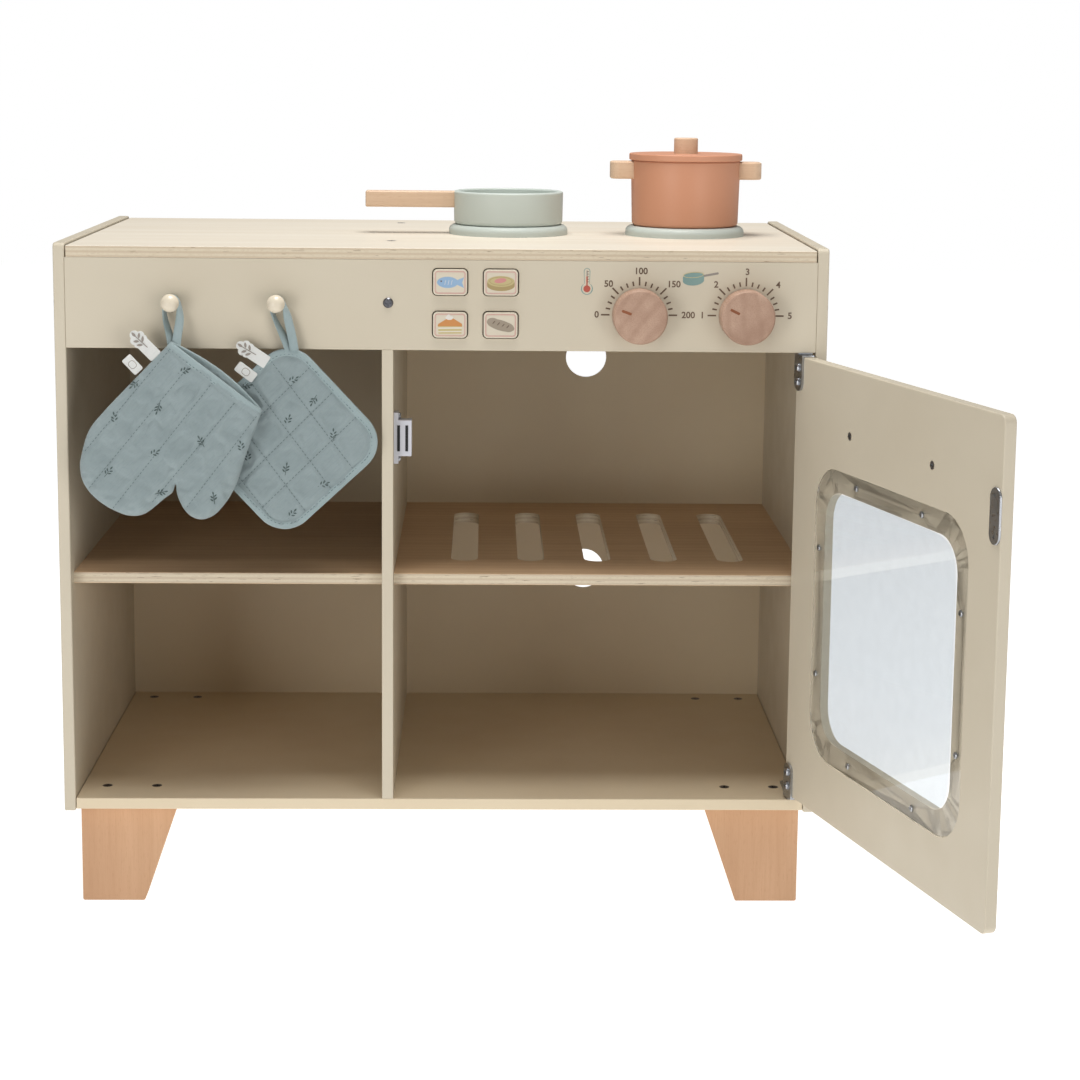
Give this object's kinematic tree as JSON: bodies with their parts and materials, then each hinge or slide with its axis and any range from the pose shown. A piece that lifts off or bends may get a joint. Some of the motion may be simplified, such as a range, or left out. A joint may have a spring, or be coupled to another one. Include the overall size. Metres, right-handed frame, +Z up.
{
  "type": "toy kitchen",
  "caption": "Low painted-board toy kitchen with beech legs, hinged oven door, slatted rack, turning dials, push buttons, hob rings, lift-off pan and pot, and hanging quilted mitt and holder.",
  "frame": {"origin": "on the floor, under the middle of the whole toy's bounding box with the oven door standing open as stored", "axes": "+Z up, -Y towards the person playing, +X towards the oven side, on the right seen from the front"},
  "size_m": [0.681, 0.6343, 0.616],
  "materials": {
    "painted_board": "satin paint",
    "birch_plywood": "clear satin lacquer",
    "beech": "clear matt lacquer",
    "sage_paint": "satin paint",
    "terracotta_paint": "satin paint",
    "cream_gloss": "gloss paint",
    "clear_acrylic": "polished",
    "zinc_steel": "zinc plated",
    "black_steel": "black oxide",
    "spring_steel": "drawn",
    "white_plastic": "moulded",
    "quilted_cotton": "quilted weave"
  },
  "bodies": {
    "cabinet": {"side_panel_left": "painted_board", "side_panel_right": "painted_board", "front_panel": "painted_board", "back_panel": "painted_board", "divider": "painted_board", "floor_panel": "painted_board", "worktop": "birch_plywood", "shelf_left": "birch_plywood", "oven_rack": "birch_plywood", "leg_front_left": "beech", "leg_front_right": "beech", "leg_rear_left": "beech", "leg_rear_right": "beech", "burner_left": "sage_paint", "burner_right": "sage_paint", "hook_left": "cream_gloss", "hook_right": "cream_gloss", "hinge_plate_top": "zinc_steel", "hinge_plate_bottom": "zinc_steel", "catch_plates": "zinc_steel", "board_screws": "zinc_steel", "leg_screws": "zinc_steel", "back_screws": "zinc_steel", "small_screws": "zinc_steel", "hinge_plate_screws": "zinc_steel", "panel_screw": "black_steel", "spring_fish": "spring_steel", "spring_biscuit": "spring_steel", "spring_cake": "spring_steel", "spring_bread": "spring_steel", "click_springs": "spring_steel", "catch_body": "white_plastic", "button_guide": "white_plastic"},
    "oven_door": {"door_panel": "painted_board", "door_window": "clear_acrylic", "window_screws": "zinc_steel", "door_handle": "beech", "handle_screws": "zinc_steel", "strike_plate": "zinc_steel", "strike_screws": "zinc_steel", "hinge_leaf_top": "zinc_steel", "hinge_leaf_bottom": "zinc_steel", "hinge_leaf_screws": "zinc_steel"},
    "left_dial": {"knob_left": "beech", "spindle_left": "white_plastic"},
    "right_dial": {"knob_right": "beech", "spindle_right": "white_plastic"},
    "fish_button": {"button_fish": "cream_gloss"},
    "biscuit_button": {"button_biscuit": "cream_gloss"},
    "cake_button": {"button_cake": "cream_gloss"},
    "bread_button": {"button_bread": "cream_gloss"},
    "pan": {"pan_bowl": "sage_paint", "pan_handle": "beech"},
    "pot": {"pot_bowl": "terracotta_paint", "pot_handles": "beech"},
    "pot_lid": {"lid_disc": "terracotta_paint", "lid_knob": "beech"},
    "mitt": {"oven_mitt": "quilted_cotton"},
    "holder": {"pot_holder": "quilted_cotton"}
  },
  "joints": [
    {"name": "oven_door_hinge", "type": "hinge", "parent": "cabinet", "child": "oven_door", "pos_m": [0.243, -0.0105, 0.274], "axis": [0, 0, 1], "range_deg": [-107, 8]},
    {"name": "left_dial_turn", "type": "hinge", "parent": "cabinet", "child": "left_dial", "pos_m": [0.1122, -0.015, 0.484], "axis": [0, 1, 0], "continuous": true},
    {"name": "right_dial_turn", "type": "hinge", "parent": "cabinet", "child": "right_dial", "pos_m": [0.1952, -0.015, 0.484], "axis": [0, 1, 0], "continuous": true},
    {"name": "fish_press", "type": "slide", "parent": "cabinet", "child": "fish_button", "axis": [0, 1, 0], "range_m": [0, 0.003], "stiffness_N_per_m": 150, "springref_m": -0.002, "deforming": ["spring_fish"]},
    {"name": "biscuit_press", "type": "slide", "parent": "cabinet", "child": "biscuit_button", "axis": [0, 1, 0], "range_m": [0, 0.003], "stiffness_N_per_m": 150, "springref_m": -0.002, "deforming": ["spring_biscuit"]},
    {"name": "cake_press", "type": "slide", "parent": "cabinet", "child": "cake_button", "axis": [0, 1, 0], "range_m": [0, 0.003], "stiffness_N_per_m": 150, "springref_m": -0.002, "deforming": ["spring_cake"]},
    {"name": "bread_press", "type": "slide", "parent": "cabinet", "child": "bread_button", "axis": [0, 1, 0], "range_m": [0, 0.003], "stiffness_N_per_m": 150, "springref_m": -0.002, "deforming": ["spring_bread"]},
    {"name": "pan_lift", "type": "slide", "parent": "cabinet", "child": "pan", "axis": [0, 0, 1], "range_m": [0, 0.12]},
    {"name": "pot_lift", "type": "slide", "parent": "cabinet", "child": "pot", "axis": [0, 0, 1], "range_m": [0, 0.12]},
    {"name": "lid_lift", "type": "slide", "parent": "pot", "child": "pot_lid", "axis": [0, 0, 1], "range_m": [0, 0.12]},
    {"name": "mitt_swing", "type": "hinge", "parent": "cabinet", "child": "mitt", "pos_m": [-0.249, -0.021, 0.492], "axis": [0, 1, 0], "range_deg": [-15, 15]},
    {"name": "holder_swing", "type": "hinge", "parent": "cabinet", "child": "holder", "pos_m": [-0.168, -0.021, 0.492], "axis": [0, 1, 0], "range_deg": [-15, 15]}
  ]
}
